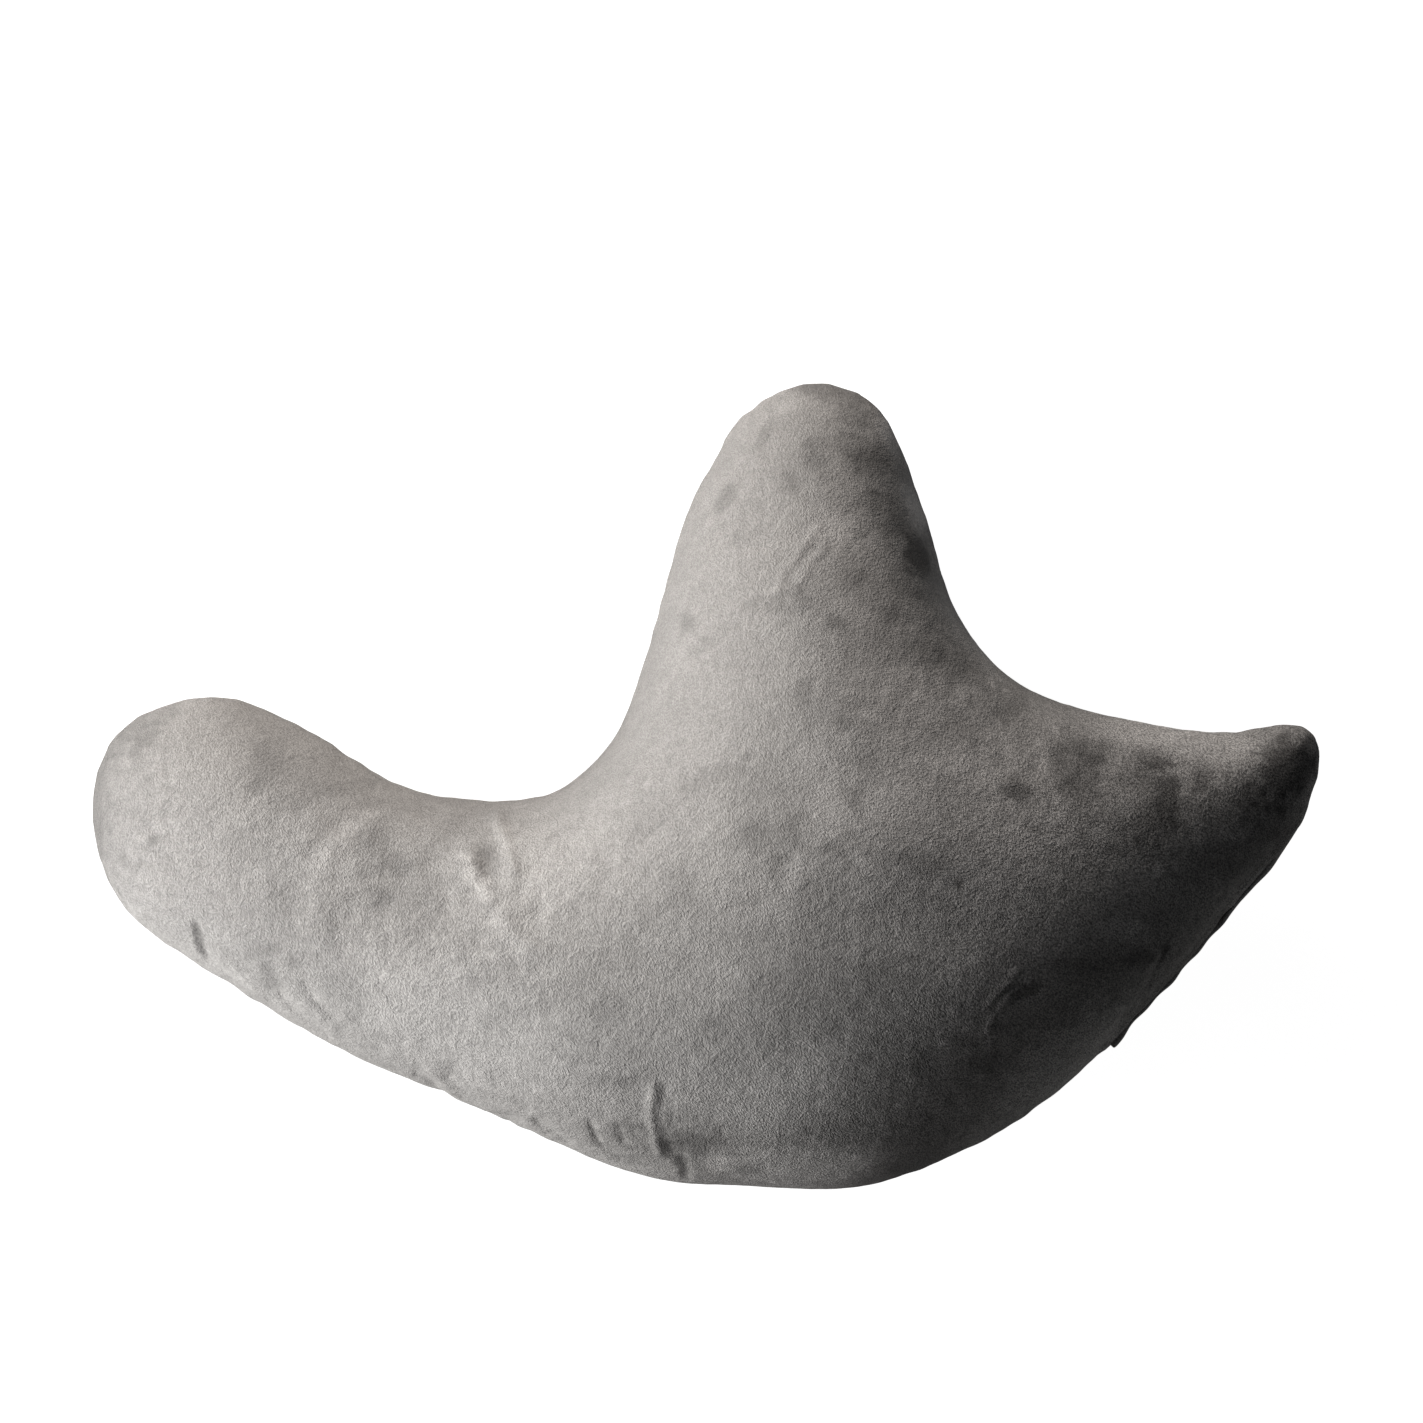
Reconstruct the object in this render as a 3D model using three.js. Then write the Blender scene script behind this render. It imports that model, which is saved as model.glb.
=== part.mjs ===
// A shoulder support pillow, built in millimetres with +Z up. It lies on its back on a flat surface at z = 0,
// with its face up: +X runs from the long arm's end to the short arm's tip, and +Y from the belly to the horn.
// The origin is the centre of its own box, at the surface it rests on.
//
// Two panels of short plush are sewn together round one seam, turned and stuffed. The seam's outline is stated
// here, and the fill is a membrane blown up from that outline: a soap film's height, whose root gives a round
// section across an arm and a flatter crown over the broad belly. A folded lip covers the closing along the
// lower right seam, and ends in a small tab.

import * as THREE from 'three';

// The seam, seen from above, clockwise from the long arm
const seamMarks = [
  { at: 'long arm crest', x: -282, y: 51.5 },
  { at: 'long arm shoulder', x: -233.6, y: 33.8 },
  { at: 'neck', x: -177.6, y: 0.7 },
  { at: 'saddle', x: -125, y: -8.3 },
  { at: 'crook', x: -85.9, y: -4.3 },
  { at: 'crook rise', x: -54.5, y: 23.7 },
  { at: 'horn root, left', x: -32.6, y: 77.9 },
  { at: 'horn flank, left', x: -10.5, y: 156.7 },
  { at: 'horn brow, left', x: 4.8, y: 184.4 },
  { at: 'horn shoulder, left', x: 20.1, y: 209.9 },
  { at: 'horn crest', x: 60, y: 229.1 },
  { at: 'horn shoulder, right', x: 95.6, y: 215.6 },
  { at: 'horn flank, right', x: 122.1, y: 158.7 },
  { at: 'horn root, right', x: 144, y: 94.5 },
  { at: 'wide bay', x: 185.5, y: 51.4 },
  { at: 'short arm neck', x: 288, y: 30.6 },
  { at: 'tip crest', x: 328.2, y: 34.7 },
  { at: 'tip brow', x: 342.8, y: 32.6 },
  { at: 'tip nose', x: 350.2, y: 21.4 },
  { at: 'tip heel', x: 339, y: -17.2 },
  { at: 'right flank, upper', x: 299.8, y: -66.5 },
  { at: 'right flank', x: 247.3, y: -125.1 },
  { at: 'right flank, lower', x: 195.1, y: -176.2 },
  { at: 'belly, right', x: 137.6, y: -212.2 },
  { at: 'belly foot, right', x: 88, y: -227.2 },
  { at: 'belly foot, left', x: 16.1, y: -226.8 },
  { at: 'belly foot, corner', x: -20.2, y: -225.1 },
  { at: 'belly, left', x: -54, y: -216.2 },
  { at: 'belly shoulder, left', x: -93.1, y: -198.5 },
  { at: 'left flank, lower', x: -133.3, y: -181.4 },
  { at: 'left flank', x: -213.8, y: -147.3 },
  { at: 'left flank, upper', x: -291, y: -101.9 },
  { at: 'long arm heel', x: -334.5, y: -67.4 },
  { at: 'long arm end', x: -351.7, y: -20 },
  { at: 'long arm brow', x: -334.4, y: 31.3 },
];
const seamSteps = 240; // straight steps round the seam

// How full it is, and how it lies
const plumpness = 0.75; // height of the fill over that of a fully round one
const beltHeight = 72; // the seam's height above the surface at the belly
const bellyCentre = { x: 70, y: -60 };
const droop = 17; // how much lower the seam hangs at armReach from the belly's centre
const armReach = 420;
const settle = 10; // height over which the underside rounds into its flat rest

// Fineness of the fill's grid and of the mesh over it
const fillStep = 5;
const edgeBand = 16; // inside this depth the fill follows the seam exactly
const fillRounds = 240; // passes that relax the fill
const fillHaste = 1.88; // how far each pass goes past the neighbours' mean
const meshStep = 12.5;
const fitRounds = 5; // steps that bring a vertex onto the true surface

// Creases in the upper panel: a line from (x, y) to (toX, toY), its half width, and its height (minus: a trough)
const creases = [
  { at: 'crook, outer ridge', x: -134, y: -41, toX: -111, toY: -70, half: 8, high: 1.2 },
  { at: 'crook, trough', x: -121, y: -40, toX: -117, toY: -52, half: 7, high: -0.8 },
  { at: 'crook, inner ridge', x: -116, y: -24, toX: -107, toY: -52, half: 7, high: 0.8 },
  { at: 'belly, left pucker', x: -63, y: -186, toX: -47, toY: -210, half: 7, high: -0.8 },
  { at: 'belly, main pucker', x: -28, y: -170, toX: -19, toY: -209, half: 7, high: -1.2 },
  { at: 'heel, pucker', x: -285, y: -80, toX: -280, toY: -98, half: 7, high: -0.8 },
];

// The folded lip over the closing, from one mark to a share of the span past another
const lip = {
  from: 'tip heel',
  past: 'right flank',
  share: 0.4,
  gap: 0.4, // between the lip and the body
  thick: 3,
  below: 5, // how far it hangs below the seam line
  above: 13, // and stands above it
  steps: 36,
  taperSteps: 12, // the first steps, over which it swells to its full size
  tabSteps: 3, // the last steps, which flare into the tab
  tabOut: 3, // how much further the tab stands out
};

// Once round the lip: how far out of the body, as a share of its thickness, and its height over the seam line
const lipSection = [
  { out: 0, up: -1 },
  { out: 0.6, up: -1 },
  { out: 1, up: -0.7 },
  { out: 1, up: 0 },
  { out: 1, up: 0.5 },
  { out: 0.9, up: 0.85 },
  { out: 0.5, up: 1 },
  { out: 0, up: 0.95 },
  { out: 0, up: 0.6 },
  { out: 0, up: 0.3 },
  { out: 0, up: 0 },
];

const plush = new THREE.MeshStandardMaterial({ color: 0x9a9793, roughness: 0.95, metalness: 0 });
const lipPlush = new THREE.MeshStandardMaterial({ color: 0x7d7b79, roughness: 0.95, metalness: 0 });

// The seam as one smooth closed curve, level with z = 0
const seamCurve = new THREE.CatmullRomCurve3(
  seamMarks.map((mark) => new THREE.Vector3(mark.x, mark.y, 0)),
  true,
  'centripetal',
);
const seamLoop = Array.from({ length: seamSteps }, (_, i) => seamCurve.getPoint(i / seamSteps));

// The seam's height above the surface: the arms hang a little under their own weight
function beltAt(x, y) {
  const share = ((x - bellyCentre.x) ** 2 + (y - bellyCentre.y) ** 2) / armReach ** 2;
  return beltHeight - droop * share;
}

// How deep (x, y) lies inside the seam, negative outside, with the inward direction there
function depthAt(x, y) {
  let best = Infinity;
  let nearX = 0;
  let nearY = 0;
  let inside = false;
  for (let i = 0, j = seamSteps - 1; i < seamSteps; j = i++) {
    const a = seamLoop[j];
    const b = seamLoop[i];
    const alongX = b.x - a.x;
    const alongY = b.y - a.y;
    const share = ((x - a.x) * alongX + (y - a.y) * alongY) / (alongX ** 2 + alongY ** 2);
    const t = Math.min(1, Math.max(0, share));
    const gapX = x - a.x - t * alongX;
    const gapY = y - a.y - t * alongY;
    const gap = Math.hypot(gapX, gapY);
    if (gap < best) {
      best = gap;
      nearX = gapX;
      nearY = gapY;
    }
    if (a.y > y !== b.y > y && x < a.x + (alongX * (y - a.y)) / alongY) inside = !inside;
  }
  const sign = inside ? 1 : -1;
  const length = Math.max(best, 1e-6);
  return { depth: sign * best, inX: (sign * nearX) / length, inY: (sign * nearY) / length };
}

// The box of the seam, grown by a margin, as a grid of equal steps
function gridOver(step, margin) {
  const box = new THREE.Box3().setFromPoints(seamLoop).expandByScalar(margin);
  const columns = Math.ceil((box.max.x - box.min.x) / step) + 1;
  const rows = Math.ceil((box.max.y - box.min.y) / step) + 1;
  return { step, columns, rows, left: box.min.x, low: box.min.y };
}

// The soap film over the seam: as high as its neighbours' mean and a little more, and 0 outside the seam
function relaxFill() {
  const grid = gridOver(fillStep, 2 * fillStep);
  const film = new Float64Array(grid.columns * grid.rows);
  const inside = [...film.keys()].filter((k) => {
    const column = k % grid.columns;
    const row = (k - column) / grid.columns;
    return depthAt(grid.left + column * fillStep, grid.low + row * fillStep).depth > 0;
  });
  for (let round = 0; round < fillRounds; round++)
    for (const k of inside) {
      const around = film[k - 1] + film[k + 1] + film[k - grid.columns] + film[k + grid.columns];
      film[k] += fillHaste * ((around + fillStep ** 2) / 4 - film[k]);
    }
  return { ...grid, film };
}

const fill = relaxFill();

// The film's value between grid points
function filmAt(x, y) {
  const column = (x - fill.left) / fill.step;
  const row = (y - fill.low) / fill.step;
  const c = Math.floor(column);
  const r = Math.floor(row);
  const k = r * fill.columns + c;
  const lower = THREE.MathUtils.lerp(fill.film[k], fill.film[k + 1], column - c);
  const upper = THREE.MathUtils.lerp(
    fill.film[k + fill.columns],
    fill.film[k + fill.columns + 1],
    column - c,
  );
  return THREE.MathUtils.lerp(lower, upper, row - r);
}

// The square of the fill's half height: positive inside the seam, negative outside
function fullnessAt(x, y) {
  const { depth, inX, inY } = depthAt(x, y);
  let film;
  if (depth < edgeBand) {
    const inward = edgeBand - depth;
    const bandFilm = filmAt(x + inX * inward, y + inY * inward);
    film = depth * (bandFilm / edgeBand + (edgeBand - depth) / 2);
  } else film = filmAt(x, y);
  return 2 * plumpness ** 2 * film;
}

// Positive inside the stuffed body before it settles on the surface, negative outside
const stuffing = (x, y, z) => fullnessAt(x, y) - (z - beltAt(x, y)) ** 2;

// Brings a point onto the stuffed body's surface
function fitted(point) {
  const probe = 0.5;
  for (let round = 0; round < fitRounds; round++) {
    const value = stuffing(point.x, point.y, point.z);
    const slope = new THREE.Vector3(
      stuffing(point.x + probe, point.y, point.z) - stuffing(point.x - probe, point.y, point.z),
      stuffing(point.x, point.y + probe, point.z) - stuffing(point.x, point.y - probe, point.z),
      -4 * probe * (point.z - beltAt(point.x, point.y)),
    ).divideScalar(2 * probe);
    const reach = -value / Math.max(slope.lengthSq(), 1);
    point.addScaledVector(slope, THREE.MathUtils.clamp(reach, -0.2, 0.2));
  }
  return point;
}

// How high the creases stand at (x, y)
function creaseAt(x, y) {
  return creases.reduce((sum, crease) => {
    const alongX = crease.toX - crease.x;
    const alongY = crease.toY - crease.y;
    const share = ((x - crease.x) * alongX + (y - crease.y) * alongY) / (alongX ** 2 + alongY ** 2);
    const t = Math.min(1, Math.max(0, share));
    const gap = Math.hypot(x - crease.x - t * alongX, y - crease.y - t * alongY);
    return sum + crease.high * Math.exp(-((gap / crease.half) ** 2));
  }, 0);
}

// The underside gives way to the surface: flat below it, rounding over a short height above it
function settled(z) {
  if (z >= settle) return z;
  if (z <= -settle) return 0;
  return (z + settle) ** 2 / (4 * settle);
}

// The stuffed body as a net of four-sided faces, one vertex in each cell that the surface crosses
function stuffedBody() {
  const grid = gridOver(meshStep, meshStep);
  const bottom = -45;
  const levels = Math.ceil((beltHeight + 120 - bottom) / meshStep) + 1;
  const layer = grid.columns * grid.rows;
  const values = new Float64Array(layer * levels);
  for (let row = 0; row < grid.rows; row++)
    for (let column = 0; column < grid.columns; column++) {
      const x = grid.left + column * meshStep;
      const y = grid.low + row * meshStep;
      const full = fullnessAt(x, y);
      const belt = beltAt(x, y);
      for (let level = 0; level < levels; level++)
        values[level * layer + row * grid.columns + column] =
          full - (bottom + level * meshStep - belt) ** 2;
    }

  const strides = [1, grid.columns, layer];
  const corners = [0, 1, 2, 3, 4, 5, 6, 7].map((bits) => [bits & 1, (bits >> 1) & 1, bits >> 2]);
  const offsets = corners.map((c) => c[0] * strides[0] + c[1] * strides[1] + c[2] * strides[2]);
  const edges = [
    [0, 1], [2, 3], [4, 5], [6, 7],
    [0, 2], [1, 3], [4, 6], [5, 7],
    [0, 4], [1, 5], [2, 6], [3, 7],
  ];
  const vertexOf = new Map();
  const positions = [];
  for (let level = 0; level < levels - 1; level++)
    for (let row = 0; row < grid.rows - 1; row++)
      for (let column = 0; column < grid.columns - 1; column++) {
        const cell = level * layer + row * grid.columns + column;
        const crossings = edges
          .filter(([a, b]) => values[cell + offsets[a]] > 0 !== values[cell + offsets[b]] > 0)
          .map(([a, b]) => {
            const t = values[cell + offsets[a]] / (values[cell + offsets[a]] - values[cell + offsets[b]]);
            return corners[a].map((from, axis) => from + t * (corners[b][axis] - from));
          });
        if (!crossings.length) continue;
        const mean = (axis) => crossings.reduce((sum, c) => sum + c[axis], 0) / crossings.length;
        const point = fitted(
          new THREE.Vector3(
            grid.left + (column + mean(0)) * meshStep,
            grid.low + (row + mean(1)) * meshStep,
            bottom + (level + mean(2)) * meshStep,
          ),
        );
        const upper = point.z > beltAt(point.x, point.y);
        const lift = upper ? creaseAt(point.x, point.y) : 0;
        vertexOf.set(cell, positions.length / 3);
        positions.push(point.x, point.y, settled(point.z + lift));
      }

  // Each grid edge that the surface crosses is wrapped by the four cells around it
  const index = [];
  for (const [cell] of vertexOf)
    for (let axis = 0; axis < 3; axis++) {
      const u = strides[(axis + 1) % 3];
      const v = strides[(axis + 2) % 3];
      const here = values[cell] > 0;
      const there = values[cell + strides[axis]] > 0;
      if (here === there) continue;
      const [a, b, c, d] = [cell, cell - u, cell - u - v, cell - v].map((k) => vertexOf.get(k));
      if (here) index.push(a, b, c, a, c, d);
      else index.push(a, c, b, a, d, c);
    }
  const geometry = new THREE.BufferGeometry();
  geometry.setAttribute('position', new THREE.Float32BufferAttribute(positions, 3));
  geometry.setIndex(index);
  geometry.computeVertexNormals();
  return geometry;
}

// A closed skin over rings of equal size, with a fan over each end
function skinOver(rings) {
  const size = rings[0].length;
  const ends = [rings[0], rings.at(-1)].map((ring) =>
    ring.reduce((sum, p) => sum.add(p), new THREE.Vector3()).divideScalar(size),
  );
  const points = [...rings.flat(), ...ends];
  const index = [];
  const firstEnd = rings.length * size;
  const lastRing = firstEnd - size;
  for (let i = 0; i < size; i++) {
    const next = (i + 1) % size;
    for (let r = 0; r < rings.length - 1; r++) {
      const [a, b, c, d] = [r * size + i, r * size + next, (r + 1) * size + i, (r + 1) * size + next];
      index.push(a, b, c, b, d, c);
    }
    index.push(firstEnd, next, i, firstEnd + 1, lastRing + i, lastRing + next);
  }
  const geometry = new THREE.BufferGeometry().setFromPoints(points);
  geometry.setIndex(index);
  geometry.computeVertexNormals();
  return geometry;
}

// The folded lip: a thin strip that follows the seam and lies against the body's curve, just off it
function foldedLip() {
  const place = (name) => seamMarks.findIndex((mark) => mark.at === name) / seamMarks.length;
  const start = place(lip.from);
  const end = place(lip.past) + lip.share / seamMarks.length;
  const rings = Array.from({ length: lip.steps + 1 }, (_, i) => {
    const t = start + ((end - start) * i) / lip.steps;
    const at = seamCurve.getPoint(t);
    const along = seamCurve.getTangent(t);
    const out = new THREE.Vector3(-along.y, along.x, 0);
    const curve = fullnessAt(at.x - out.x, at.y - out.y);
    const swell = Math.sin((Math.PI / 2) * Math.min(1, (i + 1) / lip.taperSteps));
    const tab = Math.max(0, (i - lip.steps + lip.tabSteps) / lip.tabSteps);
    const thick = lip.thick * swell + lip.tabOut * tab;
    return lipSection.map((corner) => {
      const rise = corner.up * swell * (corner.up > 0 ? lip.above : lip.below);
      const off = lip.gap + corner.out * thick - rise ** 2 / curve;
      return at.clone().addScaledVector(out, off).setZ(beltAt(at.x, at.y) + rise);
    });
  });
  return skinOver(rings);
}

function named(name, geometry, material) {
  const mesh = new THREE.Mesh(geometry, material);
  mesh.name = name;
  return mesh;
}

const pillow = new THREE.Group();
pillow.add(named('body', stuffedBody(), plush));
pillow.add(named('closing_lip', foldedLip(), lipPlush));

// The origin is the centre of the whole pillow's box, on the surface it rests on
const box = new THREE.Box3().setFromObject(pillow);
const centre = box.getCenter(new THREE.Vector3());
for (const mesh of pillow.children) mesh.position.set(-centre.x, -centre.y, 0);

export default pillow;
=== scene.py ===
"""A shoulder support pillow in short grey plush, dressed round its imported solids.

The pillow lies on its back, face up: +X runs from the long arm's end to the short arm's tip, +Y from
the belly to the horn, and +Z up out of its face. Sizes in the tables are in millimetres.
"""

import logging
import math
from dataclasses import dataclass, field, replace
from enum import IntEnum

import bmesh
import bpy
import numpy as np
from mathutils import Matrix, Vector, kdtree
from mathutils.bvhtree import BVHTree


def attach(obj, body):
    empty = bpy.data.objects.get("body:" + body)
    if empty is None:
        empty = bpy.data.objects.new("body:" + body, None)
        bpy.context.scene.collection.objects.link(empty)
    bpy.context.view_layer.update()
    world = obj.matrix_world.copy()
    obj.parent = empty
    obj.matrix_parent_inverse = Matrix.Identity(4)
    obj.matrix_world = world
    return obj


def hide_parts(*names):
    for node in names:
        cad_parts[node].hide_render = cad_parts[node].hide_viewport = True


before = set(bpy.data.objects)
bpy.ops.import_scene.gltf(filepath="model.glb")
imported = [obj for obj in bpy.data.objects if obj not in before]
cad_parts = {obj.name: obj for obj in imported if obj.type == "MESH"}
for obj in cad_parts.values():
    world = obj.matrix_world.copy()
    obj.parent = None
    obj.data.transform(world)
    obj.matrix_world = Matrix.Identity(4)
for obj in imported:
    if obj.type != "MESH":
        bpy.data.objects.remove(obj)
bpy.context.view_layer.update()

log = logging.getLogger("pillow")

MM = 0.001
NAP_AND_SHADE_LAYER = "nap_and_painted_shade"
PILE_STAND = "pile_stand"


class Draw(IntEnum):
    """The seeds of the random draws, one for each kind of unevenness."""

    LUMPS = 3
    RUFFLES = 4
    PUCKERS = 11
    PUCKER_PATCHES = 12
    RAGGED_MARKS = 21
    LIP_RIPPLE = 31


@dataclass(frozen=True)
class Crease:
    """A ridge or a trough of the face panel, along a line of (x, y) points.

    The line's half width is given on its left and on its right, so that one side can be the steeper.
    """

    name: str
    line: tuple[tuple[float, float], ...]
    high: float
    left: float
    right: float


@dataclass(frozen=True)
class NapAndShadeMark:
    """A place painted darker or lighter: partly the brushed pile's own mottling, partly painted shade in
    creases and on sides away from the light, and painted highlight on ridges, edges and rims.
    """

    name: str
    at: tuple[float, float]
    size: tuple[float, float]
    turn: float
    shade: float


CREASES = (
    Crease(
        "crook, outer ridge", ((-131, -38), (-126, -51), (-118, -64), (-108, -75), (-96, -87)), 1.5, 6.5, 6.0
    ),
    Crease("crook, inner ridge", ((-116, -19), (-109, -33), (-106, -46)), 1.2, 4.6, 4.2),
    Crease("crook, hollow", ((-121, -42), (-118, -50)), -0.4, 4.5, 4.5),
    Crease("crook, groove", ((-110, -19), (-106, -30), (-103, -42)), -0.25, 2.6, 2.6),
    Crease("arm, upper fold", ((-184, -4), (-203, -10), (-217, -21), (-226, -37)), 0.7, 7.0, 9.0),
    Crease(
        "arm, middle fold", ((-166, -17), (-188, -23), (-204, -34), (-214, -51), (-217, -80)), 0.8, 7.0, 8.0
    ),
    Crease("arm, low fold", ((-142, -18), (-165, -28), (-190, -46), (-206, -67), (-212, -87)), 0.6, 6.0, 8.0),
    Crease("heel, short fold", ((-285, -78), (-284, -88), (-280, -98)), -1.0, 2.6, 2.6),
    Crease("heel, long fold", ((-275, -93), (-263, -107), (-250, -118)), 0.8, 4.0, 3.5),
    Crease("arm, edge crease", ((-238, -118), (-228, -129), (-213, -141)), -0.8, 2.4, 2.4),
    Crease("arm, edge fold", ((-229, -115), (-220, -127), (-209, -138)), 0.6, 4.0, 4.0),
    Crease("arm, inner crease", ((-223, -111), (-216, -122), (-206, -131)), -0.7, 2.4, 2.4),
    Crease("arm, seam pucker", ((-162, -164), (-153, -169)), -0.9, 2.6, 2.6),
    Crease("belly, far left pucker", ((-94, -188), (-86, -194), (-77, -200)), -0.9, 2.6, 2.6),
    Crease("belly, left crease", ((-64, -186), (-60, -198), (-48, -209)), -0.6, 2.0, 2.0),
    Crease("belly, left dimple", ((-48, -190), (-46, -197)), -0.7, 2.6, 2.6),
    Crease("belly, pale ridge", ((-29, -164), (-31, -178), (-29, -190), (-26, -203)), 0.6, 3.2, 2.6),
    Crease(
        "main crease", ((-22, -164), (-25, -178), (-24, -188), (-20, -198), (-15, -207)), -0.42, 3.0, 3.2
    ),
    Crease("belly, fill round the crease", ((-28, -172), (-26, -190), (-19, -206)), 0.4, 5.5, 5.5),
    Crease("belly, second crease", ((-18, -172), (-18, -186)), -0.25, 2.2, 2.2),
    Crease("belly, gather", ((-24, -197), (-16, -201), (-8, -197), (2, -200)), -0.45, 3.0, 3.0),
    Crease("belly foot, crease", ((-12, -204), (-11, -219)), -0.8, 2.8, 2.8),
    Crease("flank, upper arc", ((170, -100), (161, -111), (153, -119)), 0.5, 2.2, 2.2),
    Crease("flank, middle arc", ((178, -108), (166, -113), (161, -121)), 0.4, 2.2, 2.2),
    Crease("flank, lower arc", ((157, -125), (154, -134)), 0.4, 2.2, 2.2),
    Crease("flank, arc shade", ((181, -113), (170, -115)), -0.6, 2.2, 2.2),
    Crease("lip, line", ((256, -90), (251, -101), (246, -113), (240, -123), (231, -133)), -0.9, 2.2, 2.2),
    Crease("lip, fold", ((268, -94), (258, -106), (249, -118)), 0.5, 4.0, 4.0),
    Crease("horn, long faint fold", ((39, 107), (43, 117), (52, 130), (62, 142)), 0.5, 2.6, 2.6),
    Crease("horn, fainter fold", ((48, 104), (56, 121), (66, 131)), 0.3, 2.6, 2.6),
)

# The marks mix the plush's own mottled pile with painted light and shade. Dark marks in creases and gathers
# are painted shade, pale marks on ridges, edges and rims are painted highlights, and the broad dark and pale
# fields are painted shade and painted light where the lamps give too much or too little.
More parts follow.
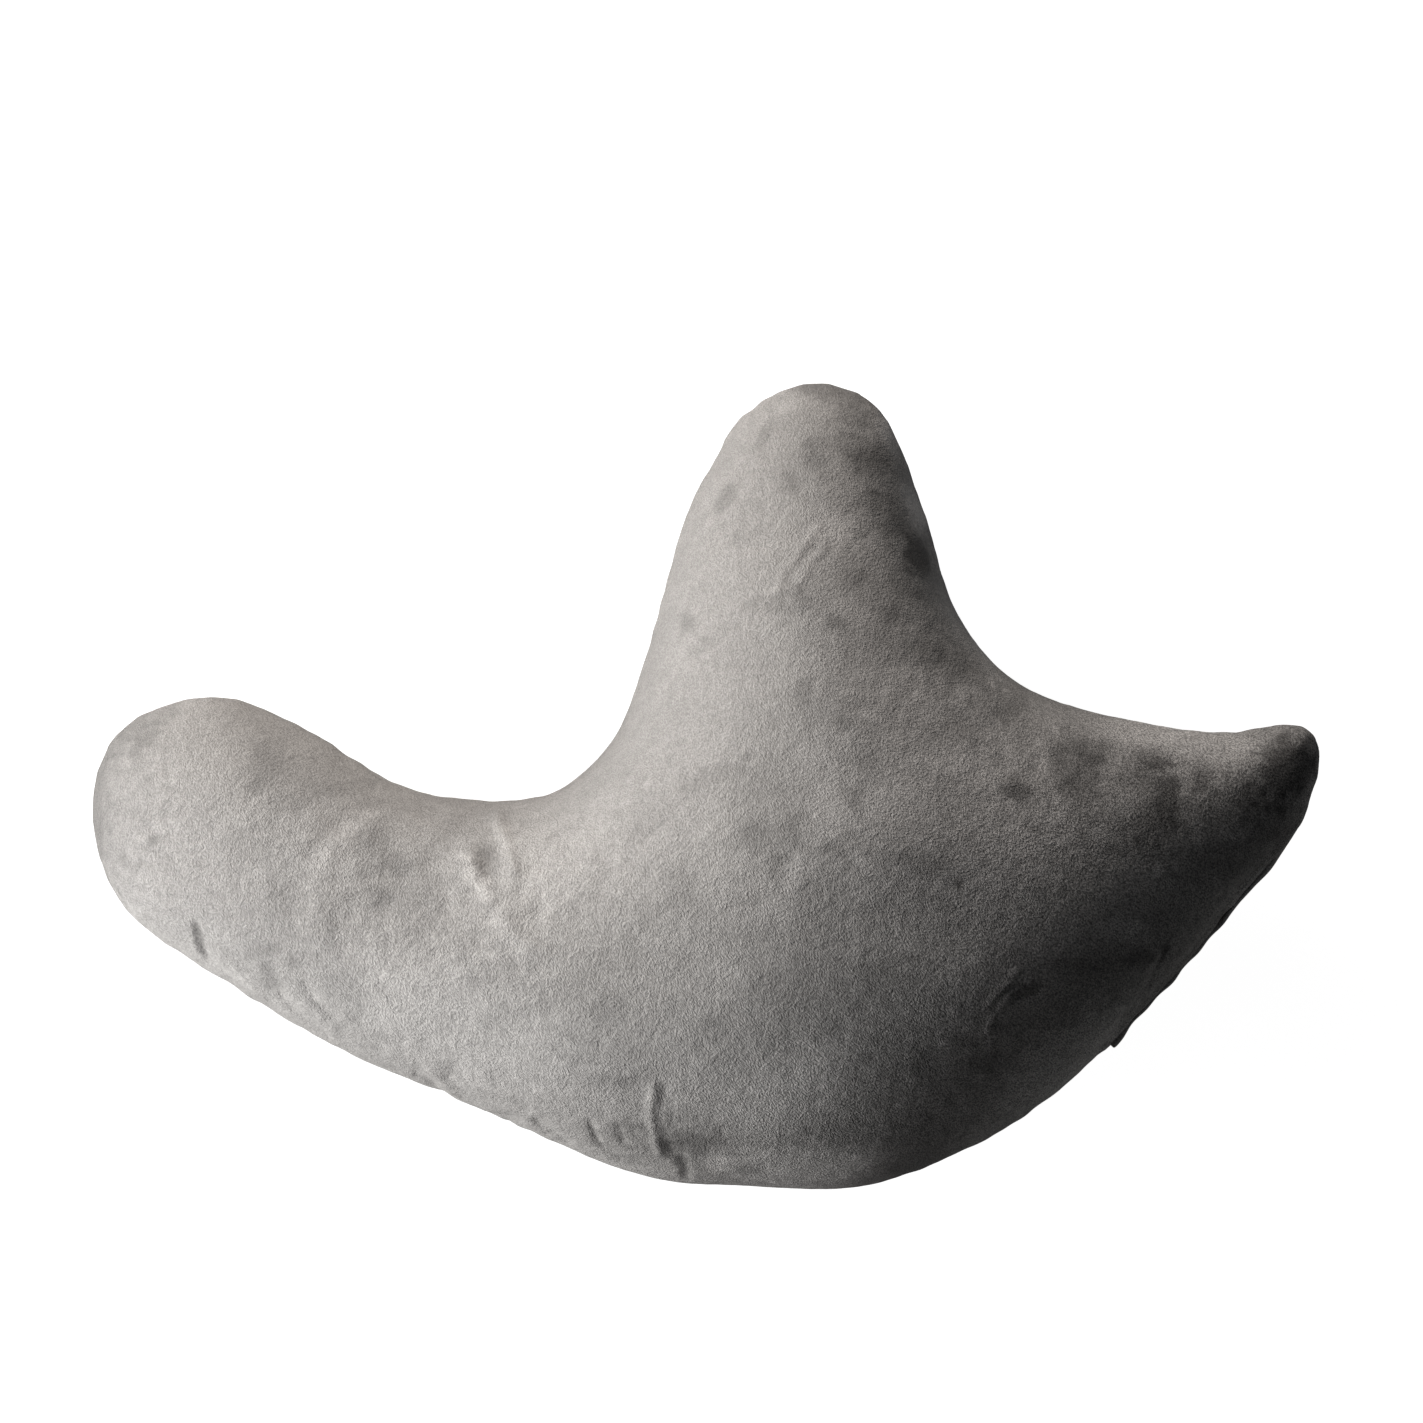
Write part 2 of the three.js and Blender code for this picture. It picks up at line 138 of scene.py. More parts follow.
NAP_AND_SHADE_MARKS = (
    NapAndShadeMark("horn crown, left streak", (33, 196), (3, 11), -30, 0.86),
    NapAndShadeMark("horn crown, pale", (52, 212), (11, 7), 0, 1.06),
    NapAndShadeMark("horn crown, smudge", (60, 186), (6, 8), 0, 0.8),
    NapAndShadeMark("horn crown, right patch", (88, 185), (14, 8), -22, 0.74),
    NapAndShadeMark("horn crown, right edge", (91, 177), (8, 12), 10, 0.8),
    NapAndShadeMark("horn crown, corner", (85, 207), (9, 6), -20, 0.82),
    # Painted highlight on the horn crown's corner.
    NapAndShadeMark("horn crown, pale corner", (102, 198), (4, 11), 26, 1.5),
    NapAndShadeMark("horn crown, dark rim", (72, 223), (24, 6), -12, 0.72),
    NapAndShadeMark("horn, dark side", (104, 142), (7, 9), 28, 0.75),
    NapAndShadeMark("horn, small streak", (47, 170), (2.8, 6), 0, 0.86),
    NapAndShadeMark("horn, brushed spot", (11, 160), (3.6, 9), -35, 0.78),
    NapAndShadeMark("horn, right patch", (96, 157), (12, 7), -20, 0.74),
    # Painted highlight along the horn's right rim.
    NapAndShadeMark("horn, pale edge", (117, 156), (5, 12), 20, 1.65),
    NapAndShadeMark("horn, dark edge", (118, 128), (6.5, 11), 26, 0.56),
    NapAndShadeMark("horn, pale middle", (70, 142), (9, 8), 20, 1.25),
    NapAndShadeMark("horn, pale dash", (86, 133), (5, 3), 0, 1.15),
    NapAndShadeMark("horn, left smear", (21, 138), (9, 5), 28, 0.9),
    NapAndShadeMark("horn, right smear", (83, 115), (8, 5), -15, 0.82),
    NapAndShadeMark("horn, far right smear", (110, 110), (10, 6), -28, 0.8),
    NapAndShadeMark("horn, low smear", (47, 102), (13, 6), 12, 0.84),
    NapAndShadeMark("horn, low dash", (26, 101), (5, 3), 20, 0.87),
    NapAndShadeMark("horn, left spot", (-10, 90), (4, 5), 0, 0.82),
    NapAndShadeMark("horn, left dash", (-1, 77), (6, 3), 28, 0.88),
    NapAndShadeMark("horn root, pale patch", (81, 95), (11, 5), -12, 1.15),
    NapAndShadeMark("horn root, dark patch", (102, 95), (6, 6), 0, 0.76),
    NapAndShadeMark("horn root, dark dash", (72, 90), (6, 4), -25, 0.8),
    NapAndShadeMark("horn root, right smear", (124, 74), (10, 8), -10, 0.82),
    # Painted highlight on the bay's upper rims, which face the light.
    NapAndShadeMark("bay edge, pale rim", (148, 83), (7, 26), 36, 1.28),
    NapAndShadeMark("bay edge, pale end", (243, 30), (20, 8), -5, 1.32),
    NapAndShadeMark("bay edge, dark smear", (143, 68), (12, 8), -20, 0.86),
    NapAndShadeMark("horn root, pale field", (107, 57), (13, 7), -8, 1.12),
    NapAndShadeMark("bay edge, pale dash", (141, 48), (3, 6), -10, 1.2),
    NapAndShadeMark("belly top, dark spot", (53, 51), (6, 6), 40, 0.8),
    NapAndShadeMark("belly top, second spot", (75, 36), (5, 4), -40, 0.76),
    NapAndShadeMark("bay, dark spots", (128, 31), (7, 4), 0, 0.86),
    NapAndShadeMark("bay, dark smear", (145, 30), (8, 5), -30, 0.8),
    NapAndShadeMark("bay edge, dark patch", (167, 38), (10, 6), 0, 0.82),
    NapAndShadeMark("bay edge, dark dash", (174, 46), (6, 4), -20, 0.85),
    NapAndShadeMark("bay, pale smear", (139, 11), (18, 6), -18, 1.14),
    NapAndShadeMark("bay, pale spot", (187, 14), (6, 5), 0, 1.2),
    NapAndShadeMark("bay spot", (170, -1), (7.5, 5.5), -28, 0.6),
    NapAndShadeMark("bay spot, pale side", (193, -12), (4, 12), 0, 1.25),
    NapAndShadeMark("bay, low pale field", (173, -31), (12, 7), -10, 1.14),
    NapAndShadeMark("belly, middle spot", (88, 14), (5.5, 7), -20, 0.8),
    NapAndShadeMark("belly, middle dash", (80, -6), (4, 6), 30, 0.78),
    NapAndShadeMark("belly, pale patch", (66, -9), (6, 12), 0, 1.14),
    NapAndShadeMark("belly, left smear", (3, 6), (17, 4), 24, 0.88),
    NapAndShadeMark("belly, far left smear", (-34, -22), (13, 6), 35, 0.91),
    NapAndShadeMark("belly, dark patch", (27, -26), (9, 9), 0, 0.84),
    NapAndShadeMark("belly, dark twin", (46, -24), (4.5, 9), -8, 0.83),
    NapAndShadeMark("belly, dark streak", (37, -44), (2.8, 8), -38, 0.82),
    NapAndShadeMark("belly, pale streak", (47, -48), (4, 9), -18, 1.16),
    NapAndShadeMark("belly, pale end", (37, -68), (8, 8), 0, 1.1),
    NapAndShadeMark("belly, small spot", (67, -34), (5.5, 4), 0, 0.81),
    NapAndShadeMark("belly, pale column", (85, -50), (5, 11), -5, 1.1),
    NapAndShadeMark("belly, right dash", (103, -38), (7, 4), 20, 0.78),
    NapAndShadeMark("belly, dark field", (120, -54), (21, 20), 0, 0.88),
    NapAndShadeMark("belly, right smear", (122, -42), (11, 5), 0, 0.87),
    NapAndShadeMark("belly, dark dot", (136.5, -52.5), (2.6, 2.6), 0, 0.5),
    NapAndShadeMark("belly, pale left field", (3, -28), (11, 22), 0, 1.07),
    NapAndShadeMark("belly, pale low field", (14, -103), (12, 11), 0, 1.08),
    NapAndShadeMark("belly, low smear", (59, -60), (8, 11), 0, 0.92),
    NapAndShadeMark("belly, left shade", (-12, -56), (9, 12), 10, 0.93),
    NapAndShadeMark("belly, low spot", (6, -127), (8, 5), 0, 0.87),
    NapAndShadeMark("belly, low streak", (36, -137), (9, 2.6), 25, 0.87),
    NapAndShadeMark("belly, low smudge", (67, -128), (8, 4), 20, 0.87),
    NapAndShadeMark("belly, pale flank field", (140, -101), (13, 13), 0, 1.12),
    NapAndShadeMark("belly foot, dark patches", (140, -140), (7, 5), 0, 0.82),
    NapAndShadeMark("belly foot, left patch", (117, -151), (6, 6), 0, 0.8),
    NapAndShadeMark("belly foot, right patch", (153, -151), (10, 6), 0, 0.76),
    # Painted shade under and between the flank's arcs.
    NapAndShadeMark("flank, shade under arcs", (167, -131), (12, 5), 0, 0.86),
    NapAndShadeMark("flank, dark dash", (172, -110), (10, 3.2), 8, 0.66),
    NapAndShadeMark("flank, long shade", (205, -98), (24, 4.5), 0, 0.82),
    NapAndShadeMark("right flank, pale patch", (229, -78), (13, 4.5), 0, 1.3),
    NapAndShadeMark("right flank, pale low", (239, -82), (8, 5), 0, 1.18),
    NapAndShadeMark("right flank, dark patch", (241, -95), (10, 4), 0, 0.68),
    NapAndShadeMark("right flank, dark dot", (255, -91), (3, 3), 0, 0.55),
    # Painted light over the lower right flank's rim, and a small painted highlight.
    NapAndShadeMark("right flank, pale field", (197.8, -153.8), (36, 16), 38, 1.5),
    NapAndShadeMark("right flank, small glint", (249, -47), (2.4, 4), -15, 1.35),
    NapAndShadeMark("short arm, root spot", (204, 8), (14, 15), 0, 0.62),
    NapAndShadeMark("short arm, root smear", (218, 20), (11, 6), 0, 0.8),
    NapAndShadeMark("short arm, pale spots", (233, -9), (5, 9), -20, 1.42),
    NapAndShadeMark("short arm, pale root", (216, -26), (7, 4), -20, 1.25),
    NapAndShadeMark("short arm, pale under bay", (195, -18), (6, 5), 0, 1.08),
    NapAndShadeMark("short arm, shade", (228, -34), (8, 5), 0, 0.82),
    NapAndShadeMark("short arm, dark dash", (249, 14), (9, 4), -15, 0.74),
    NapAndShadeMark("short arm, dark streak", (256, -8), (7, 15), 0, 0.66),
    NapAndShadeMark("short arm, dark spot", (275.5, 1.5), (5, 6), 0, 0.6),
    NapAndShadeMark("short arm, pale dash", (273, -25), (3, 8), 0, 1.3),
    NapAndShadeMark("short arm, pale low dash", (293, -28), (8, 3.4), 5, 1.35),
    # Painted highlight on the short arm's upper edge.
    NapAndShadeMark("short arm, pale edge", (284, 22), (26, 8), -3, 1.3),
    NapAndShadeMark("tip, shade", (302, -7), (9, 10), 20, 0.72),
    NapAndShadeMark("tip, dark patch", (327, 9), (20, 14), 40, 0.41),
    NapAndShadeMark("belly foot, pale field", (40, -172), (30, 24), 10, 1.15),
    # Painted highlight along the belly's lower edge.
    NapAndShadeMark("belly foot, pale edge", (62, -210), (40, 10), 0, 1.45),
    NapAndShadeMark("belly foot, dark spot", (96, -219), (16, 7), 12, 0.78),
    NapAndShadeMark("belly foot, dark field", (118, -201), (26, 16), 20, 0.74),
    # Painted shade in the gathers and creases at the belly's foot.
    NapAndShadeMark("belly, gather band", (-7, -196.5), (12, 6), -6, 0.66),
    NapAndShadeMark("belly, gather root", (-22, -200), (3.4, 6), 0, 0.66),
    NapAndShadeMark("belly, gather foot", (-9, -211), (8, 6), -6, 0.7),
    NapAndShadeMark("belly, painted shade over the gathers", (-14, -194), (26, 14), 0, 0.8),
    NapAndShadeMark("belly, gathered spot", (25, -212.5), (8, 3.4), 0, 0.78),
    NapAndShadeMark("belly, upper gathers", (-51, -162), (14, 3), 0, 0.86),
    NapAndShadeMark("belly, left gathers", (-47, -193), (9, 9), 30, 0.8),
    NapAndShadeMark("belly, left gathers, dark side", (-62, -195), (2.6, 7), 15, 0.76),
    NapAndShadeMark("belly, low gathers", (-43, -209), (8, 3.4), -8, 0.76),
    # Painted shade in the heel's short fold and painted highlight on its long fold.
    NapAndShadeMark("heel, painted shade in the short fold", (-284, -88), (3, 8), 5, 0.62),
    NapAndShadeMark("heel, pale edge", (-263, -107), (9, 4), -38, 1.12),
    # Painted shade over the long arm's end, which the low lamps from the left light too strongly.
    NapAndShadeMark("long arm, end field", (-352, 2), (40, 62), 0, 0.84),
    NapAndShadeMark("long arm, end rim", (-352, 2), (13, 54), 0, 0.77),
    NapAndShadeMark("long arm, end upper rim", (-318, 38), (24, 10), 38, 0.84),
    NapAndShadeMark("long arm, round spot", (-247, 9), (12, 9), 55, 0.82),
    NapAndShadeMark("long arm, small spot", (-309, -31), (3, 3.4), 0, 0.76),
    NapAndShadeMark("long arm, faint spot", (-327, -43), (4, 4), 0, 0.9),
    NapAndShadeMark("long arm, end smudge", (-317, 22), (4, 8), -40, 0.86),
    NapAndShadeMark("neck, dark streak", (-203, -2), (18, 4), 8, 0.87),
    NapAndShadeMark("neck, dark patch", (-233, -10), (12, 5), 0, 0.91),
    NapAndShadeMark("arm, shaded field", (-238, -50), (9, 26), 0, 0.93),
    NapAndShadeMark("arm, brushed spot", (-185, -31), (8, 8), 20, 0.85),
    NapAndShadeMark("arm, brushed dash", (-169, -44), (7, 5), -20, 0.82),
    NapAndShadeMark("arm, brushed low spot", (-181, -60), (7, 5), -25, 0.85),
    NapAndShadeMark("arm, edge spot", (-244, -107), (4, 8), 5, 0.74),
    NapAndShadeMark("arm, twin spots", (-246, -92), (8, 4), 15, 0.85),
    NapAndShadeMark("arm, lone spot", (-229, -98), (3, 4), 0, 0.8),
    NapAndShadeMark("arm, dark patch", (-202, -110), (9, 11), 20, 0.85),
    NapAndShadeMark("arm, dark dash", (-196, -130), (3, 4), 0, 0.86),
    NapAndShadeMark("arm, middle dash", (-161, -82), (4, 5), 10, 0.86),
    NapAndShadeMark("arm, low spot", (-128, -106), (3, 5), 25, 0.9),
    NapAndShadeMark("arm, low field", (-114, -129), (9, 11), 0, 0.89),
    # Painted highlights on the crook's ridges, with painted shade between them and on their far sides.
    NapAndShadeMark("crook, pale outer ridge", (-126, -51), (4.5, 12), 32, 1.3),
    NapAndShadeMark("crook, pale inner ridge", (-109, -32), (4, 10), 20, 1.16),
    NapAndShadeMark("crook, shade between the ridges", (-118, -39), (3.6, 9), 22, 0.88),
    NapAndShadeMark("crook, pale root", (-100, -84), (9, 18), 40, 1.1),
    NapAndShadeMark("crook, dark side", (-124, -62), (3, 8), 40, 0.84),
    # Mostly broad fields of painted shade and painted light, where the lamps give the face too much or too
    # little light, with painted highlights on the short arm's low rim and the arm's fold.
    NapAndShadeMark("tip, low shade", (318, -20), (14, 12), 0, 0.8),
    NapAndShadeMark("short arm, shade under the tip", (288, -28), (34, 22), 0, 0.8),
    NapAndShadeMark("short arm, pale low rim", (307, -64), (7, 24), -38, 1.45),
    NapAndShadeMark("belly, right low field", (108, -115), (20, 30), 0, 0.86),
    NapAndShadeMark("belly, low dark field", (62, -106), (40, 16), 0, 0.88),
    NapAndShadeMark("belly, middle dark field", (32, -12), (16, 30), 0, 0.93),
    NapAndShadeMark("horn crown, dark field", (52, 186), (30, 20), 0, 0.92),
    NapAndShadeMark("belly, low pale patch", (62, -150), (15, 12), 0, 1.18),
    NapAndShadeMark("belly, low pale spot", (-10, -150), (9, 12), 0, 1.12),
    NapAndShadeMark("crook, pale right side", (-93, -62), (9, 30), 12, 1.08),
    NapAndShadeMark("crook, pale field", (-85, -38), (46, 26), 20, 1.13),
    NapAndShadeMark("arm, pale fold side", (-203, -34), (9, 22), -35, 1.18),
    NapAndShadeMark("bay, pale broad field", (140, -5), (46, 50), 0, 1.22),
    NapAndShadeMark("short arm, dark field", (245, -8), (16, 24), 0, 0.68),
    NapAndShadeMark("belly foot, broad dark field", (108, -165), (30, 26), 0, 0.8),
    NapAndShadeMark("belly foot, dark side", (75, -192), (22, 8), 0, 0.84),
    NapAndShadeMark("belly foot, right shade", (118, -212), (18, 9), 12, 0.8),
    NapAndShadeMark("belly, pale spot by the gather", (6, -209), (8, 5), 0, 1.3),
    # Painted highlight along the belly's pale ridge.
    NapAndShadeMark("belly, pale ridge side", (-28, -181), (3, 14), 4, 1.28),
    NapAndShadeMark("belly, left low smear", (-52, -118), (9, 11), 0, 0.86),
    NapAndShadeMark("arm, pale field", (-145, -124), (62, 26), -25, 1.2),
)


def grey(level: float) -> tuple[float, float, float, float]:
    """A neutral colour."""
    return (level, level, level, 1.0)


def smooth_step(value: np.ndarray) -> np.ndarray:
    """An S-shaped step from 0 to 1."""
    inside = np.clip(value, 0.0, 1.0)
    return inside * inside * (3.0 - 2.0 * inside)


def waves(points: np.ndarray, spacing: float, seed: Draw, count: int = 14) -> np.ndarray:
    """Gentle unevenness, made of plane waves in random directions.

    Args:
        points: places in millimetres, one row each.
        spacing: the usual distance between two crests, in millimetres.
        seed: which random draws to use.
        count: how many waves are summed.

    Returns:
        One value for each point, with a spread of about 1.
    """
    rng = np.random.default_rng(int(seed))
    total = np.zeros(len(points))
    for _ in range(count):
        heading = rng.normal(size=3)
        heading /= np.linalg.norm(heading)
        pace = 2.0 * math.pi / (spacing * rng.uniform(0.7, 1.5))
        total += np.sin(points @ (heading * pace) + rng.uniform(0.0, 2.0 * math.pi))
    return total / math.sqrt(count / 2.0)


def points_of(mesh: bpy.types.Mesh) -> np.ndarray:
    """The places of a mesh's vertices, in metres.

    Args:
        mesh: the mesh.

    Returns:
        One row for each vertex.
    """
    flat = np.empty(len(mesh.vertices) * 3, dtype=np.float32)
    mesh.vertices.foreach_get("co", flat)
    return flat.reshape(-1, 3).astype(np.float64)


def set_points(mesh: bpy.types.Mesh, points: np.ndarray) -> None:
    """Moves a mesh's vertices to these places, in metres."""
    mesh.vertices.foreach_set("co", points.astype(np.float32).ravel())
    mesh.update()


def normals_of(mesh: bpy.types.Mesh) -> np.ndarray:
    """The normals of a mesh's vertices.

    Args:
        mesh: the mesh.

    Returns:
        One row for each vertex.
    """
    flat = np.empty(len(mesh.vertices) * 3, dtype=np.float32)
    mesh.vertex_normals.foreach_get("vector", flat)
    return flat.reshape(-1, 3).astype(np.float64)


def write_layer(mesh: bpy.types.Mesh, name: str, values: np.ndarray) -> None:
    """Keeps one number for each vertex under this name."""
    layer = mesh.attributes.new(name, "FLOAT", "POINT")
    layer.data.foreach_set("value", values.astype(np.float32))


def copy_of_node(node: str, name: str) -> bpy.types.Object:
    """A new object with a copy of a CAD node's mesh and no material.

    Args:
        node: the CAD node's name.
        name: the new object's name.

    Returns:
        The new object, in the scene.
    """
    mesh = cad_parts[node].data.copy()
    mesh.name = name
    mesh.materials.clear()
    piece = bpy.data.objects.new(name, mesh)
    bpy.context.scene.collection.objects.link(piece)
    return piece


def apply_modifiers(piece: bpy.types.Object) -> None:
    """Puts what a piece's modifiers make into its own mesh.

    Args:
        piece: the object, which keeps none of its modifiers.
    """
    evaluated = piece.evaluated_get(bpy.context.evaluated_depsgraph_get())
    made = bpy.data.meshes.new_from_object(evaluated)
    old = piece.data
    piece.modifiers.clear()
    piece.data = made
    made.name = piece.name
    bpy.data.meshes.remove(old)


@dataclass(frozen=True)
class Belt:
    """The height at which the seam runs round the pillow, as its solids have it."""

    high: float = 72.0
    droop: float = 17.0
    reach: float = 420.0
    centre: tuple[float, float] = (70.5, -59.1)

    def at(self, points: np.ndarray) -> np.ndarray:
        """The seam's height at each point, in millimetres."""
        away = (points[:, 0] - self.centre[0]) ** 2 + (points[:, 1] - self.centre[1]) ** 2
        return self.high - self.droop * away / self.reach**2


@dataclass(frozen=True)
class Cloud:
    """One layer of a cloudy pattern, with its scale per metre and its share of the whole."""

    scale: float
    share: float
    detail: float
    rough: float
    warp: float = 0.0


class NodeBoard:
    """A short way to place and join shader nodes."""

    def __init__(self, tree: bpy.types.NodeTree) -> None:
        """Starts on an empty node tree."""
        self.tree = tree
        self.placed = 0

    def add(self, kind: str, **settings: object) -> bpy.types.Node:
        """Places a node.

        Args:
            kind: the node's type.
            settings: its properties.

        Returns:
            The new node.
        """
        node = self.tree.nodes.new(kind)
        node.location = (220 * (self.placed % 8), -260 * (self.placed // 8))
        self.placed += 1
        for name, value in settings.items():
            setattr(node, name, value)
        return node

    def feed(self, node: bpy.types.Node, **inputs: object) -> bpy.types.Node:
        """Sets a node's inputs by name, with _ for a space: a socket is linked, and a value is set.

        Args:
            node: the node.
            inputs: what each input takes.

        Returns:
            The same node.
        """
        for name, value in inputs.items():
            self.feed_at(node, name.replace("_", " "), value)
        return node

    def feed_at(self, node: bpy.types.Node, key: str | int, value: object) -> None:
        """Links a socket to one input, or sets the input's own value.

        Args:
            node: the node.
            key: the input's name or place.
            value: the socket or the value.
        """
        socket = node.inputs[key]
        if isinstance(value, bpy.types.NodeSocket):
            self.tree.links.new(value, socket)
        else:
            socket.default_value = value

    def sum(
        self, operation: str, first: object, second: object = 0.0, third: object = 0.0
    ) -> bpy.types.NodeSocket:
        """One step of arithmetic on up to three values.

        Args:
            operation: the Math node's operation.
            first: a socket or a number.
            second: the same.
            third: the same.

        Returns:
            The result.
        """
        node = self.add("ShaderNodeMath", operation=operation)
        for index, value in enumerate((first, second, third)):
            if index < len(node.inputs):
                self.feed_at(node, index, value)
        return node.outputs[0]

    def shader(self, kind: str, **inputs: object) -> bpy.types.NodeSocket:
        """Places a shader with these inputs, and gives what it puts out."""
        return self.feed(self.add(kind), **inputs).outputs[0]

    def either(self, share: object, first: object, second: object) -> bpy.types.NodeSocket:
        """A mix of two shaders, all the second one where the share is 1.

        Args:
            share: the share of the second one.
            first: a shader.
            second: a shader.

        Returns:
            The mixed shader.
        """
        node = self.add("ShaderNodeMixShader")
        for index, value in enumerate((share, first, second)):
            self.feed_at(node, index, value)
        return node.outputs[0]

    def centred(self, value: object, low: float, high: float) -> bpy.types.NodeSocket:
        """A smooth passage from this span of values to -1 to 1.

        Args:
            value: the value.
            low: what becomes -1.
            high: what becomes 1.

        Returns:
            The changed value.
        """
        node = self.add("ShaderNodeMapRange", interpolation_type="SMOOTHSTEP")
        for key, one in (
            ("Value", value),
            ("From Min", low),
            ("From Max", high),
            ("To Min", -1.0),
            ("To Max", 1.0),
        ):
            self.feed_at(node, key, one)
        return node.outputs["Result"]

    def smeared(self, place: object, turn: float, long: float) -> bpy.types.NodeSocket:
        """Places drawn out along one direction, so that a pattern on them turns to streaks.

        Args:
            place: the places.
            turn: the direction, in degrees from +X.
            long: how many times as long as wide the streaks are.

        Returns:
            The changed places.
        """
        node = self.add("ShaderNodeMapping", vector_type="TEXTURE")
        self.feed(node, Vector=place, Rotation=(0.0, 0.0, math.radians(turn)), Scale=(long, 1.0, 1.0))
        return node.outputs["Vector"]

    def clouds(self, place: object, layers: tuple[Cloud, ...], start: object = 0.0) -> bpy.types.NodeSocket:
        """A cloudy pattern in layers, each times its share, on top of what it starts from.

        Args:
            place: the places.
            layers: the layers.
            start: a value to add them to.

        Returns:
            The sum.
        """
        total = start
        for layer in layers:
            noise = self.add("ShaderNodeTexNoise")
            self.feed(noise, Vector=place, Scale=layer.scale, Detail=layer.detail)
            self.feed(noise, Roughness=layer.rough, Distortion=layer.warp)
            total = self.sum("MULTIPLY_ADD", noise.outputs["Fac"], layer.share, total)
        return total


def new_group(
    name: str, takes: dict[str, str], gives: dict[str, str]
) -> tuple[NodeBoard, bpy.types.Node, bpy.types.Node]:
    """Starts a shader node group.

    Args:
        name: the group's name.
        takes: the type of each input, by name.
        gives: the type of each output, by name.

    Returns:
        A board on the group, its input node and its output node.
    """
    tree = bpy.data.node_groups.new(name, "ShaderNodeTree")
    for way, sockets in (("INPUT", takes), ("OUTPUT", gives)):
        for label, kind in sockets.items():
            tree.interface.new_socket(label, in_out=way, socket_type=kind)
    board = NodeBoard(tree)
    return board, board.add("NodeGroupInput"), board.add("NodeGroupOutput")


@dataclass
class PlushGroups:
    """The effects that every plush material shares, each a node group that is built once."""

    nap_turn: float = 28.0
    nap_long: float = 2.2
    nap_smears: tuple[Cloud, ...] = (Cloud(62.0, 0.4, 3.0, 0.6, 0.5), Cloud(24.0, 0.3, 2.0, 0.5, 0.4))
    nap_spots: tuple[Cloud, ...] = (Cloud(170.0, 0.3, 2.0, 0.55, 0.3),)
    nap_span: tuple[float, float] = (0.36, 0.64)
    grain_turn: float = -42.0
    grain_long: float = 1.7
    grain_strands: tuple[Cloud, ...] = (Cloud(640.0, 0.15, 0.0, 0.5), Cloud(1350.0, 0.85, 1.0, 0.5, 0.2))
    grain_span: tuple[float, float] = (0.33, 0.67)
    nap: bpy.types.NodeTree = field(init=False)
    grain: bpy.types.NodeTree = field(init=False)

    def __post_init__(self) -> None:
        """Builds the groups."""
        self.nap = self._nap()
        self.grain = self._grain()

    def _nap(self) -> bpy.types.NodeTree:
        """Broad cloudy patches where the pile leans one way or another.

        Returns:
            The group, which puts out a shade and a lean.
        """
        board, takes, gives = new_group(
            "Brushed nap",
            {"Place": "NodeSocketVector", "Contrast": "NodeSocketFloat"},
            {"Shade": "NodeSocketFloat", "Lean": "NodeSocketFloat"},
        )
        place = takes.outputs["Place"]
        mixed = board.clouds(board.smeared(place, self.nap_turn, self.nap_long), self.nap_smears)
        mixed = board.clouds(place, self.nap_spots, mixed)
        lean = board.centred(mixed, *self.nap_span)
        shade = board.sum("MULTIPLY_ADD", lean, takes.outputs["Contrast"], 1.0)
        board.feed(gives, Shade=shade, Lean=lean)
        return board.tree

    def _grain(self) -> bpy.types.NodeTree:
        """Fine slanting streaks, the tips of the pile.

        Returns:
            The group, which puts out a shade and a height.
        """
        board, takes, gives = new_group(
            "Pile grain",
            {"Place": "NodeSocketVector", "Depth": "NodeSocketFloat"},
            {"Shade": "NodeSocketFloat", "Height": "NodeSocketFloat"},
        )
        place = board.smeared(takes.outputs["Place"], self.grain_turn, self.grain_long)
        height = board.clouds(place, self.grain_strands)
        centred = board.centred(height, *self.grain_span)
        shade = board.sum("MULTIPLY_ADD", centred, takes.outputs["Depth"], 1.0)
        board.feed(gives, Shade=shade, Height=height)
        return board.tree


